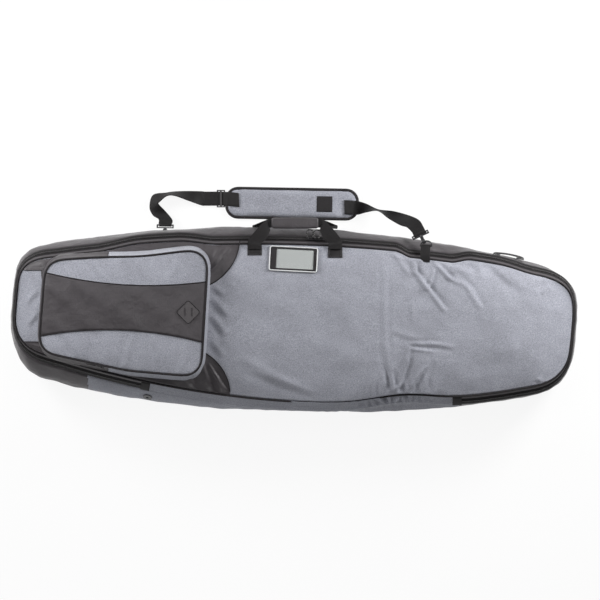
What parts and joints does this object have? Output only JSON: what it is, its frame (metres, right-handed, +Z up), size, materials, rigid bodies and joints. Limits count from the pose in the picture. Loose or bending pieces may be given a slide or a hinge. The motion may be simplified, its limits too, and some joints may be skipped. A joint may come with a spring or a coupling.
{
  "type": "board bag",
  "caption": "Padded zip-round bag for a wakeboard or snowboard, with a boot pocket on the lid, carry handles, a card window and a padded shoulder strap on snap hooks.",
  "frame": {"origin": "on the resting face of the back panel, near the middle of the bag, with the bag lying on its back", "axes": "+X along the bag from the boot pocket end to the plain end, +Y towards the carry handle side, +Z up out of the front panel"},
  "size_m": [1.5059, 0.5992, 0.2557],
  "materials": {
    "grey_cloth": "heather woven polyester",
    "dark_cloth": "charcoal ripstop polyester with a slight sheen",
    "black_webbing": "woven nylon webbing",
    "foam": "closed-cell foam sheet",
    "lining": "plain woven lining",
    "piping": "bound seam piping",
    "zip": "nylon coil zip on woven tape",
    "metal": "black painted zinc",
    "cord": "braided cord",
    "film": "clear vinyl film",
    "card": "plain card",
    "rubber": "moulded rubber",
    "plastic": "moulded acetal"
  },
  "bodies": {
    "base": {"back_panel": "dark_cloth", "back_foam": "foam", "back_lining": "lining", "back_piping": "piping", "base_gusset": "dark_cloth", "hinge_gusset": "grey_cloth", "gusset_foam": "foam", "gusset_lining": "lining", "base_zip_tape": "zip", "base_zip_chain": "zip", "zip_end_tabs": "black_webbing", "drain_grommet": "metal", "back_handle": "black_webbing", "grab_handle_tabs": "black_webbing", "left_ring_tab": "black_webbing"},
    "grab_handle": {"grab_handle": "black_webbing"},
    "lid": {"front_panel": "grey_cloth", "upper_yoke": "dark_cloth", "lower_yoke": "dark_cloth", "end_panel": "grey_cloth", "front_foam": "foam", "front_lining": "lining", "front_piping": "piping", "lid_band": "dark_cloth", "lid_zip_tape": "zip", "lid_zip_chain": "zip", "handle_patches": "black_webbing", "card_frame": "dark_cloth", "card_window": "film", "card": "card", "right_ring_tab": "black_webbing", "pocket_gusset": "grey_cloth", "pocket_zip_gusset": "dark_cloth", "pocket_upper_panel": "grey_cloth", "pocket_band": "dark_cloth", "pocket_lower_panel": "grey_cloth", "pocket_piping": "piping", "lash_tab": "rubber"},
    "carry_handle": {"carry_handle": "black_webbing", "grip_wrap": "dark_cloth"},
    "left_slider": {"left_slider": "metal"},
    "right_slider": {"right_slider": "metal"},
    "left_zip_pull": {"left_zip_pull": "cord"},
    "right_zip_pull": {"right_zip_pull": "cord"},
    "pocket_flap": {"flap_gusset": "dark_cloth", "flap_upper_panel": "grey_cloth", "flap_band": "dark_cloth", "flap_lower_panel": "grey_cloth", "flap_piping": "piping"},
    "pocket_slider": {"pocket_slider": "metal"},
    "pocket_pull": {"pocket_pull": "cord"},
    "shoulder_strap": {"strap_left": "black_webbing", "strap_right": "black_webbing", "shoulder_pad": "grey_cloth", "pad_binding": "piping", "d_rings": "metal", "snap_hooks": "plastic"},
    "tri_glide": {"tri_glide": "plastic"},
    "left_gate": {"left_gate": "plastic"},
    "right_gate": {"right_gate": "plastic"}
  },
  "joints": [
    {"name": "lid_open", "type": "hinge", "parent": "base", "child": "lid", "pos_m": [0, -0.242, 0.17], "axis": [1, 0, 0], "range_deg": [0, 95]},
    {"name": "strap_swing", "type": "hinge", "parent": "base", "child": "shoulder_strap", "pos_m": [-0.34916, 0.20243, 0.012], "axis": [0.9704, -0.0228, 0.2403], "range_deg": [0, 42]},
    {"name": "grab_handle_lift", "type": "hinge", "parent": "base", "child": "grab_handle", "pos_m": [0.56468, 0.16104, 0.152], "axis": [0.9859, -0.1675, 0], "range_deg": [0, 90], "stiffness_Nm_per_rad": 0.05},
    {"name": "left_slider_run", "type": "hinge", "parent": "lid", "child": "left_slider", "pos_m": [-0.11, -3.81, 0.17], "axis": [0, 0, 1], "range_deg": [0, 9]},
    {"name": "right_slider_run", "type": "hinge", "parent": "lid", "child": "right_slider", "pos_m": [-0.11, -3.81, 0.17], "axis": [0, 0, -1], "range_deg": [0, 2.8]},
    {"name": "left_pull_lift", "type": "hinge", "parent": "left_slider", "child": "left_zip_pull", "pos_m": [0.03932, 0.20825, 0.17502], "axis": [0.9993, -0.0371, 0], "range_deg": [0, 16]},
    {"name": "right_pull_lift", "type": "hinge", "parent": "right_slider", "child": "right_zip_pull", "pos_m": [0.05833, 0.2075, 0.17502], "axis": [0.9991, -0.0419, 0], "range_deg": [0, 16]},
    {"name": "carry_handle_lift", "type": "hinge", "parent": "lid", "child": "carry_handle", "pos_m": [0, 0.19669, 0.1916], "axis": [1, 0, 0], "range_deg": [0, 150]},
    {"name": "pocket_flap_open", "type": "hinge", "parent": "lid", "child": "pocket_flap", "pos_m": [-0.49, 0, 0.257], "axis": [0, 1, 0], "range_deg": [0, 100]},
    {"name": "pocket_slider_run", "type": "slide", "parent": "lid", "child": "pocket_slider", "axis": [-0.9772, 0.2124, 0], "range_m": [0, 0.11]},
    {"name": "pocket_pull_swing", "type": "hinge", "parent": "pocket_slider", "child": "pocket_pull", "pos_m": [-0.50534, -0.13242, 0.226], "axis": [0, 0, 1], "range_deg": [0, 120]},
    {"name": "tri_glide_run", "type": "slide", "parent": "shoulder_strap", "child": "tri_glide", "axis": [-1, 0, 0], "range_m": [0, 0.026]},
    {"name": "left_gate_open", "type": "hinge", "parent": "shoulder_strap", "child": "left_gate", "pos_m": [-0.34993, 0.23072, 0.01778], "axis": [0.9704, -0.0228, 0.2403], "range_deg": [0, 25], "stiffness_Nm_per_rad": 0.02},
    {"name": "right_gate_open", "type": "hinge", "parent": "shoulder_strap", "child": "right_gate", "pos_m": [0.33397, 0.21065, 0.17398], "axis": [0.909, 0.416, -0.0274], "range_deg": [0, 25], "stiffness_Nm_per_rad": 0.02}
  ]
}
